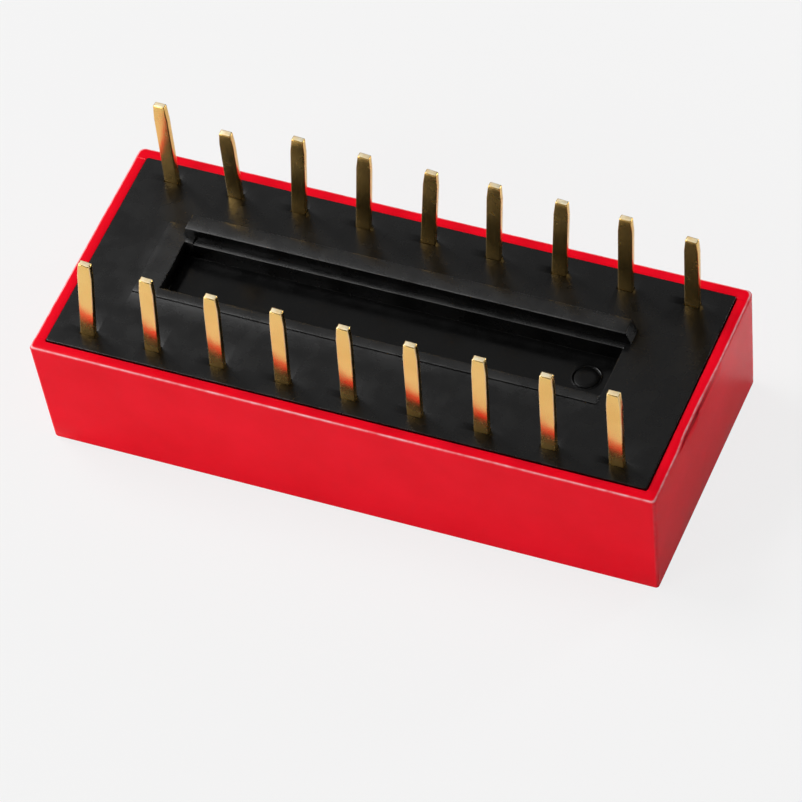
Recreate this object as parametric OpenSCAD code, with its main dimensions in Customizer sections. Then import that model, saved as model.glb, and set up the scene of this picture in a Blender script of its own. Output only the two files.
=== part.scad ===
// Nine-position slide switch in a dual in-line package, resting on its closed face with the
// terminals pointing up. A red cover shell holds a black base in which eighteen gold-plated
// terminals are moulded. Nine white sliders each carry a bridging contact spring.
// Origin: centre of the closed face. X runs along the row of positions, Y across it, Z up
// along the terminals.

/* [Positions] */
// Number of switch positions
positions = 9; // [2:1:12]
// Distance between neighbouring positions
pitch = 2.54; // [2.3:0.01:3.1]
// Distance between the two rows of terminals
row_spacing = 7.62; // [6.3:0.01:9.2]

/* [Cover] */
// From the last terminal's centre to the cover's end face, at the rim
end_margin = 1.84; // [1.6:0.01:2.3]
// From a terminal row's centre to the cover's long face, at the rim
side_margin = 1.26; // [0.95:0.01:1.5]
// From the closed face to the rim
cover_height = 5.0; // [4.05:0.05:6.0]
// Thickness of the cover's side and end walls
cover_wall = 0.45; // [0.35:0.01:0.55]
// Thickness of the cover's closed face
cover_plate = 0.8; // [0.6:0.05:1.0]
// Lean of each end face, from the rim to the closed face
end_draft = 0.22; // [0:0.01:0.25]
// Lean of each long face, from the rim to the closed face
side_draft = 0.04; // [0:0.01:0.1]
// Radius of the cover's upright corners
cover_corner = 0.2; // [0.05:0.05:0.4]

/* [Gate] */
// Length of the recess where the moulding gate was broken off
gate_length = 4.3; // [2:0.1:6]
// Depth of the recess into the end wall
gate_depth = 0.1; // [0.05:0.01:0.15]
// Height of the recess below the rim
gate_height = 0.45; // [0.2:0.05:0.8]
// Place of the recess across the end wall, at its centre
gate_offset = -0.5; // [-1:0.1:1]
// Length over which the recess runs out at its front end
gate_runout = 0.7; // [0.2:0.1:1.5]
// Width of the stub left in the recess
gate_stub = 0.25; // [0.1:0.05:0.5]

/* [Base] */
// How far the base's outer face stands above the cover's rim
base_rise = 0.06; // [-0.1:0.01:0.15]
// Depth of the pocket below the base's outer face
pocket_depth = 0.68; // [0.3:0.01:1.4]
// Width of the pocket
pocket_width = 2.3; // [1.9:0.05:2.6]
// From the pocket's end to the last terminal's centre
pocket_end_inset = 1.66; // [1.2:0.01:2.2]
// Height of the standoff rib above the base's outer face
rib_height = 0.53; // [0.3:0.01:0.8]
// Width of the standoff rib
rib_width = 0.7; // [0.4:0.01:0.9]
// Ledge between the pocket's back edge and the rib
rib_ledge = 0.25; // [0.1:0.01:0.4]
// From the rib's end to the last terminal's centre
rib_end_inset = 1.61; // [1.2:0.01:2.2]
// Width of the low land along the pocket's front edge
front_land_width = 0.42; // [0.2:0.01:1]
// Length of the low land at the pocket's left end, along the switch
end_land_length = 0.92; // [0.5:0.01:1.2]
// Width of the land at the left end, from the front land's front edge
end_land_width = 3.45; // [2:0.05:5]
// Height of both lands
land_height = 0.07; // [0.02:0.01:0.15]
// Diameter of the ejector mark on the pocket's floor
ejector_diameter = 1.02; // [0.6:0.01:1.4]
// From the ejector mark's centre to the last terminal's centre
ejector_end_inset = 2.66; // [2.4:0.01:4]
// Place of the ejector mark across the pocket
ejector_y = 0.02; // [-0.4:0.01:0.4]
// Width of the ejector mark's ring
ejector_ring = 0.05; // [0.03:0.01:0.1]
// Depth of the ejector mark's ring
ejector_depth = 0.04; // [0.02:0.01:0.1]
// Thickness of the walls between neighbouring chambers
chamber_wall = 0.56; // [0.4:0.01:0.7]
// Wall behind each end of a slider's channel
channel_end_wall = 0.67; // [0.5:0.01:0.9]
// Height of the room for the contact spring, above the slider's channel
contact_room = 1.0; // [0.83:0.01:1.2]
// Gap left at each end of the contact room
contact_room_gap = 0.15; // [0.05:0.01:0.3]

/* [Snap ridges] */
// Length of the ridge on each end of the base
ridge_length = 5; // [3:0.1:6]
// Radius of the ridge's section
ridge_radius = 0.3; // [0.2:0.01:0.35]
// How far the ridge stands out of the base
ridge_height = 0.1; // [0.05:0.01:0.15]
// Height of the ridge above the closed face
ridge_level = 3.3; // [2.5:0.1:4]

/* [Terminals] */
// Width of a terminal's pin
pin_width = 0.55; // [0.4:0.01:0.7]
// Thickness of the terminal strip
strip = 0.25; // [0.2:0.01:0.3]
// Length of the pin beyond the base's outer face
pin_length = 3.8; // [2.5:0.05:4.5]
// Width across the blunt tip
tip_width = 0.45; // [0.25:0.01:0.5]
// Length of the tapered tip
tip_length = 0.65; // [0.4:0.05:1.2]
// Inside radius of the bend between pad and pin
bend_radius = 0.2; // [0.1:0.01:0.3]
// Width of the contact pad
pad_width = 1.2; // [0.8:0.01:1.4]
// How far a pad runs on past the contact's furthest points
pad_overrun = 0.2; // [0.1:0.01:0.3]
// Gap between the two pads of one position
pad_gap = 0.45; // [0.3:0.01:0.6]

/* [Sliders] */
// Travel from OFF to ON
travel = 2.0; // [1.6:0.05:2.4]
// Width of the knob
knob_width = 1.2; // [0.9:0.01:1.4]
// Length of the knob along its travel
knob_length = 1.3; // [1:0.01:1.6]
// How far the knob's end lies inside the closed face
knob_recess = 0.1; // [0:0.01:0.3]
// Thickness of the sliding plate
slide_plate = 0.7; // [0.5:0.01:0.9]
// Length of the boss that carries the contact spring
boss_length = 1.6; // [1.2:0.05:1.9]
// Gap between the boss and the terminals' pads
boss_gap = 0.3; // [0.2:0.01:0.4]
// Height of the contact spring's seat above the sliding plate
seat_height = 0.4; // [0.3:0.01:0.5]

/* [Contact springs] */
// Thickness of the spring strip
spring = 0.12; // [0.08:0.01:0.15]
// Width of the spring strip
spring_width = 1.0; // [0.6:0.01:1.1]
// Distance between the spring's two contact points
contact_span = 2.2; // [1.9:0.05:2.6]
// Radius of the rolled contact points
contact_roll = 0.15; // [0.1:0.01:0.2]

/* [Clearances] */
// Gap between the base and the cover's walls
cover_fit = 0.03; // [0.02:0.01:0.05]
// Gap round each slider and its knob
slide_fit = 0.05; // [0.03:0.01:0.08]
// Gap between the contact spring and what it touches
contact_fit = 0.03; // [0.02:0.01:0.05]
// Shrinkage gap between a terminal and the base moulded round it
insert_fit = 0.02; // [0.01:0.01:0.03]

/* [Hidden] */
$fn = 48;

// How each pin has been bent by handling, left to right:
// [degrees towards the right end, degrees towards the back, degrees of twist]
front_bends = [
    [6, 1.5, 0], [4, 0.5, 0], [3.5, 0, 0], [3, 1, 0], [3, 1, 0],
    [3, 0.5, 0], [3, 2, 0], [2.5, 2, 0], [2, 1, 0]
];
back_bends = [
    [-1.5, 4, -15], [3.5, -4.5, 0], [5, 3, 0], [6, 2, 0], [7, 1.5, 0],
    [5, 2.5, 0], [5.5, 2, 0], [4, 1, 0], [4.5, -3, 0]
];

// Outlines, at the rim
row_length = (positions - 1) * pitch;
cover_length = row_length + 2 * end_margin;
cover_width = row_spacing + 2 * side_margin;

// Levels above the closed face
slide_bottom = cover_plate + slide_fit;
slide_top = slide_bottom + slide_plate;
channel_top = slide_top + slide_fit;
pad_level = channel_top + contact_room;
boss_top = pad_level - boss_gap;
seat_level = slide_top + seat_height;
base_top = cover_height + base_rise;
pocket_floor = base_top - pocket_depth;

// Chambers and sliders
chamber_width = pitch - chamber_wall;
slide_width = chamber_width - 2 * slide_fit;
channel_length = cover_width - 2 * (cover_wall + cover_fit + channel_end_wall);
slide_length = channel_length - travel - 2 * slide_fit;
window_width = knob_width + 2 * slide_fit;
window_length = knob_length + travel + 2 * slide_fit;
contact_half = contact_span / 2;
room_length = 2 * (contact_half + contact_roll + travel / 2 + contact_room_gap);

// Terminal pads, measured across from the centre line. A back terminal's pad reaches past that
// line, so that the contact spring stays on it over the whole travel
back_pad_reach = contact_half - travel / 2 + pad_overrun;
front_pad_start = back_pad_reach + pad_gap;
pad_outer = contact_half + travel / 2 + pad_overrun;
row_y = row_spacing / 2;
// Depth to which a bent blade reaches back into the base's outer face
blade_root = 0.04;

// Pocket and rib
pocket_length = row_length - 2 * pocket_end_inset;
rib_length = row_length - 2 * rib_end_inset;
rib_y = pocket_width / 2 + rib_ledge + rib_width / 2;
end_land_y = end_land_width / 2 - pocket_width / 2 - front_land_width;

// Contact spring: an arc hanging between its two rolled ends
roll_level = pad_level - contact_fit - contact_roll;
arc_level = seat_level + contact_fit + spring / 2;
arc_rise = roll_level - arc_level;
arc_radius = (contact_half * contact_half + arc_rise * arc_rise) / (2 * arc_rise);

function position_x(i) = (i - (positions + 1) / 2) * pitch;
function bend_of(bends, i) = i <= len(bends) ? bends[i - 1] : [0, 0, 0];

// Block whose faces lean in towards the closed face, held inside the cover's outline by inset
module leaning_block(inset, bottom, top) {
    half_x = cover_length / 2 - inset;
    half_y = cover_width / 2 - inset;
    lean_x = end_draft / cover_height;
    lean_y = side_draft / cover_height;
    intersection() {
        rotate([90, 0, 0])
            linear_extrude(height = cover_width + 1, center = true)
                polygon(leaning_section(half_x, lean_x, bottom, top));
        rotate([90, 0, 90])
            linear_extrude(height = cover_length + 1, center = true)
                polygon(leaning_section(half_y, lean_y, bottom, top));
    }
}

function leaning_section(half, lean, bottom, top) = [
    [-half + lean * (cover_height - bottom), bottom],
    [half - lean * (cover_height - bottom), bottom],
    [half - lean * (cover_height - top), top],
    [-half + lean * (cover_height - top), top]
];

// Upright block standing on a level and centred on the origin
module slab(length, width, bottom, top) {
    translate([-length / 2, -width / 2, bottom])
        cube([length, width, top - bottom]);
}

// Outline in Y and Z, given a thickness along X
module across(thickness) {
    rotate([90, 0, 90])
        linear_extrude(height = thickness, center = true)
            children();
}

// Upright column with the cover's rim outline
module rounded_column() {
    linear_extrude(height = cover_height) {
        square([cover_length - 2 * cover_corner, cover_width], center = true);
        square([cover_length, cover_width - 2 * cover_corner], center = true);
        for (x = [-1, 1], y = [-1, 1])
            translate([x * (cover_length / 2 - cover_corner), y * (cover_width / 2 - cover_corner)])
                circle(r = cover_corner);
    }
}

// Half-sunk bar along each end of the base; grow opens the matching groove in the cover
module snap_bars(grow) {
    bar_x = cover_length / 2 - cover_wall - cover_fit
        - end_draft * (cover_height - ridge_level) / cover_height
        + ridge_height - ridge_radius;
    for (side = [-1, 1])
        translate([side * bar_x, 0, ridge_level])
            rotate([90, 0, 0])
                cylinder(r = ridge_radius + grow, h = ridge_length + 2 * grow, center = true);
}

// Recess of the broken-off gate round its stub: square at the back, running out to the front
module gate_recess() {
    end_x = cover_length / 2;
    back_y = gate_offset + gate_length / 2;
    front_y = gate_offset - gate_length / 2;
    difference() {
        translate([0, 0, cover_height - gate_height])
            linear_extrude(height = gate_height + 1)
                polygon([
                    [end_x - gate_depth, back_y],
                    [end_x + 1, back_y],
                    [end_x + 1, front_y],
                    [end_x, front_y],
                    [end_x - gate_depth, front_y + gate_runout]
                ]);
        translate([end_x, gate_offset, 0])
            slab(4 * gate_depth, gate_stub, 0, cover_height - gate_height / 3);
    }
}

// Red shell, open at the rim, with one window for each knob in its closed face
module cover() {
    color("#DB1526")
        difference() {
            intersection() {
                leaning_block(0, 0, cover_height);
                rounded_column();
            }
            leaning_block(cover_wall, cover_plate, cover_height + 1);
            for (i = [1:positions])
                translate([position_x(i), 0, 0])
                    slab(window_width, window_length, -1, cover_plate + 1);
            snap_bars(cover_fit);
            gate_recess();
        }
}

// Strip that runs from a contact pad round the bend and up the pin, on the back side of the
// switch, as an outline in Y and Z
module strip_outline(pad_start, top, grow) {
    bend_y = row_y - strip / 2 - bend_radius;
    bend_z = pad_level + strip + bend_radius;
    translate([pad_start - grow, pad_level - grow])
        square([bend_y - pad_start + grow, strip + 2 * grow]);
    translate([row_y - strip / 2 - grow, bend_z])
        square([strip + 2 * grow, top - bend_z]);
    translate([bend_y, bend_z])
        difference() {
            circle(r = bend_radius + strip + grow);
            circle(r = bend_radius - grow);
            translate([-1, 0])
                square([2, 1]);
            translate([-1, -1])
                square([1, 2]);
        }
}

// What a terminal fills inside the base, on the back side of the switch
module embedded_terminal(pad_start, grow) {
    across(pin_width + 2 * grow)
        strip_outline(pad_start, base_top + (grow > 0 ? 1 : 0), grow);
    translate([0, (pad_start + pad_outer) / 2, 0])
        slab(pad_width + 2 * grow, pad_outer - pad_start + 2 * grow, pad_level - grow, pad_level + strip + grow);
}

// Pin beyond the base, from its bend at the base's outer face to its blunt tip
module pin_blade() {
    rotate([90, 0, 0])
        linear_extrude(height = strip, center = true)
            polygon([
                [-pin_width / 2, -blade_root],
                [pin_width / 2, -blade_root],
                [pin_width / 2, pin_length - tip_length],
                [tip_width / 2, pin_length],
                [-tip_width / 2, pin_length],
                [-pin_width / 2, pin_length - tip_length]
            ]);
}

// One terminal; side is -1 in the front row and 1 in the back row
module terminal(i, side, pad_start, bend) {
    color("#D9B45B")
        translate([position_x(i), 0, 0]) {
            mirror([0, side < 0 ? 1 : 0, 0])
                embedded_terminal(pad_start, 0);
            translate([0, side * row_y, base_top])
                rotate([-bend[1], bend[0], bend[2]])
                    pin_blade();
        }
}

module terminal_front(i) {
    terminal(i, -1, front_pad_start, bend_of(front_bends, i));
}

module terminal_back(i) {
    terminal(i, 1, -back_pad_reach, bend_of(back_bends, i));
}

// Ring pressed into the pocket's floor by an ejector pin
module ejector_mark() {
    translate([row_length / 2 - ejector_end_inset, ejector_y, pocket_floor - ejector_depth])
        difference() {
            cylinder(d = ejector_diameter, h = 1);
            translate([0, 0, -1])
                cylinder(d = ejector_diameter - 2 * ejector_ring, h = 3);
        }
}

// Black moulding that closes the cover: chambers for the sliders underneath, and on the outer
// face a pocket between a standoff rib at the back and a low land at the front
module base() {
    color("#262727")
        difference() {
            union() {
                leaning_block(cover_wall + cover_fit, cover_plate, base_top);
                snap_bars(0);
                translate([0, rib_y, 0])
                    slab(rib_length, rib_width, base_top - 1, base_top + rib_height);
                translate([0, -(pocket_width + front_land_width) / 2, 0])
                    slab(pocket_length, front_land_width, base_top - 1, base_top + land_height);
                translate([-(pocket_length + end_land_length) / 2, end_land_y, 0])
                    slab(end_land_length, end_land_width, base_top - 1, base_top + land_height);
            }
            slab(pocket_length, pocket_width, pocket_floor, base_top + 1);
            ejector_mark();
            for (i = [1:positions])
                translate([position_x(i), 0, 0]) {
                    slab(chamber_width, channel_length, cover_plate - 1, channel_top);
                    slab(chamber_width, room_length, channel_top - 1, pad_level);
                    embedded_terminal(-back_pad_reach, insert_fit);
                    mirror([0, 1, 0])
                        embedded_terminal(front_pad_start, insert_fit);
                }
        }
}

// Sliding plate with its knob below and, above, a boss slotted for the contact spring. It stands
// at OFF, against the back, and slides to the front to switch ON
module actuator(i) {
    color("#EEEDE8")
        translate([position_x(i), travel / 2, 0])
            difference() {
                union() {
                    slab(knob_width, knob_length, knob_recess, slide_top);
                    slab(slide_width, slide_length, slide_bottom, slide_top);
                    slab(slide_width, boss_length, slide_bottom, boss_top);
                }
                slab(spring_width + 2 * contact_fit, boss_length + 1, seat_level, boss_top + 1);
            }
}

// Bowed strip with a rolled contact point at each end
module contact_spring(i) {
    roll_angle = asin(contact_half / arc_radius);
    color("#E0B85A")
        translate([position_x(i), travel / 2, 0])
            across(spring_width) {
                translate([0, arc_level + arc_radius])
                    intersection() {
                        difference() {
                            circle(r = arc_radius + spring / 2);
                            circle(r = arc_radius - spring / 2);
                        }
                        polygon([
                            [0, 0],
                            [-2 * arc_radius * sin(roll_angle), -2 * arc_radius * cos(roll_angle)],
                            [2 * arc_radius * sin(roll_angle), -2 * arc_radius * cos(roll_angle)]
                        ]);
                    }
                for (side = [-1, 1])
                    translate([side * contact_half, roll_level])
                        circle(r = contact_roll);
            }
}

cover();
base();
for (i = [1:positions]) {
    terminal_front(i);
    terminal_back(i);
    actuator(i);
    contact_spring(i);
}
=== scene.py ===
"""Nine-position slide switch in a dual in-line package, lying on its closed face, terminals up.

Lengths are millimetres until piece() makes a mesh in metres. X runs along the row of positions,
Y across it and Z up the terminals; the front is -Y and the left end is -X.
"""

import math

import bmesh
import bpy
import numpy as np
from mathutils import Matrix, Vector


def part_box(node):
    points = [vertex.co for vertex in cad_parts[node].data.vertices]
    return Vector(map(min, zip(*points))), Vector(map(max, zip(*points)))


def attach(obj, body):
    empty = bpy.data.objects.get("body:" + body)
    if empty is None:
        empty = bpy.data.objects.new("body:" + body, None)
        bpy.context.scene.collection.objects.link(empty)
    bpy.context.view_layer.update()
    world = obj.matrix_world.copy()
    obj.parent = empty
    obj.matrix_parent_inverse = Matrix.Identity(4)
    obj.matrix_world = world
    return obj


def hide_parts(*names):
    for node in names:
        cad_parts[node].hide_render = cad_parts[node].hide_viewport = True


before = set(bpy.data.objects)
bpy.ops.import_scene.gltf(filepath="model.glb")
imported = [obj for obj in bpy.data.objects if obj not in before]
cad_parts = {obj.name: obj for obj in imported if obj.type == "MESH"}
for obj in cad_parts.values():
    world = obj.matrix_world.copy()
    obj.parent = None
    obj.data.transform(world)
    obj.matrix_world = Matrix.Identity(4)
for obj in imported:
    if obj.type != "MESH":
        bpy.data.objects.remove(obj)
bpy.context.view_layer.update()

# ------------------------------------------------------------------ base
# A black glass-filled moulding, moulded round the terminals, that closes the cover. Outside it
# has a pocket with an ejector mark, a standoff rib behind it, low lands in front of it and at its
# left end, and a pit round each terminal; inside it has a stepped chamber for each slider.

MM = 0.001


def size_of(node):
    """Lowest and highest corner of a CAD node, in millimetres."""
    low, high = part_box(node)
    return np.array(low) / MM, np.array(high) / MM


COVER_HIGH = size_of("cover")[1]
BASE_HIGH = size_of("base")[1]
POSITIONS = sum(1 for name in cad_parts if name.startswith("terminal_front_"))
FIRST_X, LAST_X = (size_of(f"terminal_front_{i}")[0][0] for i in (1, POSITIONS))
PITCH = round((LAST_X - FIRST_X) / (POSITIONS - 1), 3)
POSITION_X = (np.arange(POSITIONS) - (POSITIONS - 1) / 2) * PITCH
ROW_Y = 3.81

RIM = round(COVER_HIGH[2], 3)
COVER_HALF = COVER_HIGH[:2].round(3)
COVER_LEAN = np.array([0.22, 0.04])
COVER_WALL = 0.45
COVER_PLATE = 0.8
BASE_INSET = COVER_WALL + 0.03
BASE_TOP = RIM + 0.06
BASE_UNDER = COVER_PLATE + 0.005
BASE_EDGE = 0.02
BASE_CORNER = 0.08

# Features of the outer face as X and Y ranges. Each rounding is the radius of the crown, the lean
# of the wall and the radius of the root.
RIB = [(-8.55, 8.55), (1.4, 2.1)]
RIB_RISE = round(BASE_HIGH[2] - BASE_TOP, 3)
RIB_ROUNDING = (0.04, 0.02, 0.01)
RIB_END_SLANT = 0.17
LANDS = [[(-8.5, 8.5), (-1.57, -0.9)], [(-9.42, -8.2), (-1.57, 1.88)]]
LAND_RISE = 0.07
LAND_ROUNDING = (0.02, 0.005, 0.01)
POCKET = [(-8.5, 8.5), (-1.15, 1.15)]
POCKET_FLOOR = BASE_TOP - 0.68
POCKET_ROUNDING = (0.03, 0.02, 0.02)
PIT_HALF = np.array([0.29, 0.14])
PIT_DEPTH = 0.12
PIT_ROUNDING = (0.02, 0.006, 0.006)

# The ejector mark: its middle, the half length of the square that it takes out of the pocket's
# floor, and the rings in it
EJECTOR_CENTRE = np.array([7.5, 0.02])
EJECTOR_SQUARE = 0.62
EJECTOR_RADII = np.array([0.6, 0.56, 0.53, 0.51, 0.5, 0.485, 0.47, 0.46, 0.445, 0.2, 0])
EJECTOR_DEPTHS = np.array([0, -0.004, -0.01, 0, 0.025, 0.035, 0.025, 0.004, 0, 0, 0])

# Painted sheen and painted highlights on the base. Each band gives the distances past an edge
# between which its painted highlight comes and goes. Behind the Y called BACK an edge gets no
# more painted highlight than the top's painted sheen. The pocket's far edge has its painted
# highlight at the left end and at the right end.
RIB_BAND = [-0.04, -0.02, -0.005, -0.001]
RIB_TOP_SHEEN = 0.14
RIB_EDGE_HIGHLIGHT = 0.8
RIB_EDGE_BACK = 1.6
RIB_END_BAND = [0, 0.05, 0.12, RIB_END_SLANT]
RIB_END_HIGHLIGHT = 0.3
LAND_BAND = [-0.02, -0.01, -0.0025, 0]
LAND_TOP_SHEEN = 0.16
LAND_EDGE_HIGHLIGHT = 0.7
LAND_EDGE_BACK = LANDS[0][1][0] + 0.025
POCKET_BAND = [0, 0.004, 0.015, 0.03]
POCKET_EDGE_HIGHLIGHT = [1, 0.3]

# Each step of a chamber as its half width in Y and the level of its roof
CHAMBER_HALF_X = 0.99
CHAMBER_LEAN = 0.01
CHANNEL = (3.92, 1.6)
CONTACT_ROOM = (2.4, 2.6)

# The snap ridge on each end wall
RIDGE_LEVEL = 3.3
RIDGE_RADIUS = 0.3
RIDGE_PROUD = 0.1
RIDGE_HALF = 2.5
RIDGE_END_LEAN = 0.01
RIDGE_END_BAND = 0.01
RIDGE_ROWS = np.array([0.23, 0.2, 0.14, 0.07, 0, -0.07, -0.14, -0.2, -0.23])
ROWS_ABOVE_RIDGE = [4.3, 3.6]
ROWS_BELOW_RIDGE = [2.4, 1.6]

QUARTER = np.radians([0.0, 30.0, 60.0, 90.0])
CORNER_STEPS = np.array([0.0, 0.25, 0.5, 0.75, 1.0])
CORNER_ROOM = 0.005
LINE_GAP = 0.004
SLACK = 0.001
FAR = 99


def half_at(level):
    """Half length and half width of the cover's outside at a level: its faces lean in towards
    the closed face."""
    return COVER_HALF - COVER_LEAN * (RIM - level) / RIM


def gathered(*groups):
    """All the grid lines in order, without those that lie closer than LINE_GAP."""
    lines = np.unique(np.concatenate([np.ravel(group) for group in groups]).round(4))
    return lines[np.concatenate([[True], np.diff(lines) > LINE_GAP])]


def plan_grid(half, radii, lines, kept=(FAR, FAR)):
    """Flat grid over a rectangle with rounded corners, as (rows, columns, 2), from its X lines
    and Y lines; the radii are those of the front and of the back corners. Lines beyond kept are
    drawn in evenly where a corner needs their room. In a corner square, whose own coordinates a
    and b run from 0 to 1, a point goes to a * sqrt(1 - b*b/2), b * sqrt(1 - a*a/2), a quarter
    disc."""
    core = []
    for size, line, fixed in zip(half, lines, kept):
        outer = np.maximum(np.abs(line) - fixed, 0)
        room = size - max(radii) - CORNER_ROOM - fixed
        squeeze = min(1.0, room / max(outer.max(), 1e-9))
        core.append(np.sign(line) * (np.minimum(np.abs(line), fixed) + outer * squeeze))
    front, back = (half[1] - r + r * CORNER_STEPS for r in radii)
    y = np.concatenate([-front[::-1], core[1], back])[:, None]
    radius = np.interp(y, [-front[0], back[0]], radii)
    corner = half[0] - radius + radius * CORNER_STEPS
    middle = np.broadcast_to(core[0], (len(y), len(core[0])))
    x = np.concatenate([-corner[:, ::-1], middle, corner], 1)
    grid = np.stack([x, np.broadcast_to(y, x.shape)], -1)
    radius = radius[..., None]
    straight = np.array(half) - radius
    share = np.clip((np.abs(grid) - straight) / radius, 0, 1)
    bent = radius * share * np.sqrt(1 - share[..., ::-1] ** 2 / 2)
    return np.sign(grid) * (np.minimum(np.abs(grid), straight) + bent)


def border(grid):
    """The points along a grid's border, once round and back to the first."""
    sides = [grid[0, :-1], grid[:-1, -1], grid[-1, :0:-1], grid[:0:-1, 0], grid[:1, 0]]
    return np.concatenate(sides)


def raised(plan, *values):
    """Plan points with a level as their third coordinate and, where given, a finish as their
    fourth. Each of the two is a number or an array."""
    for value in values:
        plan = np.concatenate([plan, np.broadcast_to(value, plan.shape[:-1])[..., None]], -1)
    return plan


def quarter_edge(radius):
    """Insets and drops along a rounded edge, from the face to the wall: a quarter circle."""
    return radius * (1 - np.sin(QUARTER)), radius * (1 - np.cos(QUARTER))


def step_profile(rise, crown, lean, root):
    """Offsets across a step, from its high side to its low side, and the share of the rise there:
    a quarter circle of radius crown, a wall that leans by lean, and a quarter circle of radius
    root at its foot."""
    offsets = [crown * (np.sin(QUARTER) - 1), lean + root * (1 - np.cos(QUARTER))]
    heights = [rise - crown * (1 - np.cos(QUARTER)), root * (1 - np.sin(QUARTER))]
    return np.concatenate(offsets), np.concatenate(heights) / rise


def beyond(plan, box, end_slant=0.0, lean=0.0):
    """Distance of plan points past the nearest side of a rectangle, negative inside it. Past the
    ends in X the first end_slant of it counts as lean, so that a step's end wall slopes."""
    middle, half = (np.array(box) @ [[0.5, -0.5], [0.5, 0.5]]).T
    past_x, past_y = np.moveaxis(np.abs(plan - middle) - half, -1, 0)
    if end_slant:
        past_x = np.interp(past_x, [-FAR, 0, end_slant, end_slant + FAR],
                           [-FAR, 0, lean, lean + FAR])
    return np.maximum(past_x, past_y)


def side_lines(low, high, offsets):
    """Grid lines along a band's two sides at a profile's offsets, positive ones outside it."""
    return np.concatenate([low - offsets, high + offsets])


def step_lines(box, offsets, end_slant=0.0):
    """X lines and Y lines along a rectangle's sides at a profile's offsets, with more of them
    across the slant of its ends."""
    across_x, across_y = (side_lines(*side, offsets) for side in box)
    if end_slant:
        slant = np.linspace(0, end_slant, 4)
        across_x = gathered(across_x, side_lines(*box[0], slant),
                            side_lines(*box[0], end_slant + offsets))
    return across_x, across_y


def all_quads(grid):
    """An array that keeps every quad of a grid."""
    return np.ones((grid.shape[0] - 1, grid.shape[1] - 1), bool)


def cut_hole(grid, kept, low, high):
    """Takes a plan grid's quads between the corners low and high out of those that are kept.
    Returns the border of the hole."""
    inside = (grid > low - SLACK) & (grid < high + SLACK)
    columns = np.flatnonzero(inside[0, :, 0])
    rows = np.flatnonzero(inside[:, 0, 1])
    kept[rows[0]:rows[-1], columns[0]:columns[-1]] = False
    return border(grid[rows[0]:rows[-1] + 1, columns[0]:columns[-1] + 1])


def end_lines(half_length):
    """Y lines across both ends of the snap ridge or of its groove."""
    return (half_length + np.array([-RIDGE_END_LEAN, RIDGE_END_LEAN]))[:, None] * [-1, 1]


def ridge_swell(loop, level, radius, half_length):
    """How far the snap ridge, or its groove, stands out of the end walls at a level: its circle
    of that radius about a line inside the base's wall, less the part that is sunk in the wall,
    along its half length."""
    out = math.sqrt(max(radius ** 2 - (level - RIDGE_LEVEL) ** 2, 0)) - (radius - RIDGE_PROUD)
    ends = [half_length - RIDGE_END_LEAN, half_length + RIDGE_END_LEAN]
    along = np.interp(np.abs(loop[:, 1]), ends, [1, 0])
    at_end = np.abs(loop[:, 0]) > np.abs(loop[:, 0]).max() - RIDGE_END_BAND
    return max(out, 0) * along * at_end


def pushed(loop, swell):
    """A loop of plan points moved out along X."""
    return loop + np.stack([np.sign(loop[:, 0]) * swell, np.zeros(len(loop))], -1)


WELD = 2e-7
SHARP_EDGE = math.radians(38)


def piece(name, patches, body, nodes, materials):
    """A closed mesh in place of some CAD nodes. Each patch is a (rows, columns, 3) grid of points
    in millimetres, alone or with an array that says which quads it keeps; a fourth coordinate
    becomes the attribute painted_light, which carries painted highlights and painted shade. Edges
    that meet are welded and faces turned outwards; steep edges stay sharp, and normals are
    weighted by area, which keeps the flats flat."""
    points, quads, painted_light, first = [], [], [], 0
    for patch in patches:
        grid, kept = patch if isinstance(patch, tuple) else (patch, None)
        index = first + np.arange(grid[..., 0].size).reshape(grid.shape[:2])
        quad = np.stack([index[:-1, :-1], index[:-1, 1:], index[1:, 1:], index[1:, :-1]], -1)
        quads.append(quad.reshape(-1, 4) if kept is None else quad[kept])
        points.append(grid[..., :3].reshape(-1, 3))
        painted_light.append(grid[..., 3].ravel() if grid.shape[2] > 3 else np.zeros(index.size))
        first += index.size
    mesh = bpy.data.meshes.new(name)
    mesh.from_pydata((np.concatenate(points) * MM).tolist(), [], np.concatenate(quads).tolist())
    attribute = mesh.attributes.new("painted_light", "FLOAT", "POINT")
    attribute.data.foreach_set("value", np.concatenate(painted_light))
    shell = bmesh.new()
    shell.from_mesh(mesh)
    unused = [vertex for vertex in shell.verts if not vertex.link_faces]
    bmesh.ops.delete(shell, geom=unused, context="VERTS")
    bmesh.ops.remove_doubles(shell, verts=shell.verts, dist=WELD)
    bmesh.ops.dissolve_degenerate(shell, edges=shell.edges, dist=WELD)
    bmesh.ops.recalc_face_normals(shell, faces=shell.faces)
    shell.to_mesh(mesh)
    shell.free()
    made = bpy.data.objects.new(name, mesh)
    bpy.context.scene.collection.objects.link(made)
    for material in materials:
        mesh.materials.append(material)
    mesh.shade_smooth()
    mesh.set_sharp_from_angle(angle=SHARP_EDGE)
    weigh = made.modifiers.new("flats_stay_flat", "WEIGHTED_NORMAL")
    weigh.keep_sharp = True
    weigh.weight = 80
    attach(made, body)
    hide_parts(*nodes)
    return made


def surface(name):
    """A new material, its node tree and its Principled shader."""
    material = bpy.data.materials.new(name)
    material.use_nodes = True
    tree = material.node_tree
    return material, tree, tree.nodes["Principled BSDF"]


def add(tree, kind, inputs=None, **settings):
    """A new node with its settings; each input is a value or another node's output socket."""
    node = tree.nodes.new(kind)
    for key, value in settings.items():
        setattr(node, key, value)
    for key, value in (inputs or {}).items():
        if isinstance(value, bpy.types.NodeSocket):
            tree.links.new(value, node.inputs[key])
        else:
            node.inputs[key].default_value = value
    return node


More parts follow.
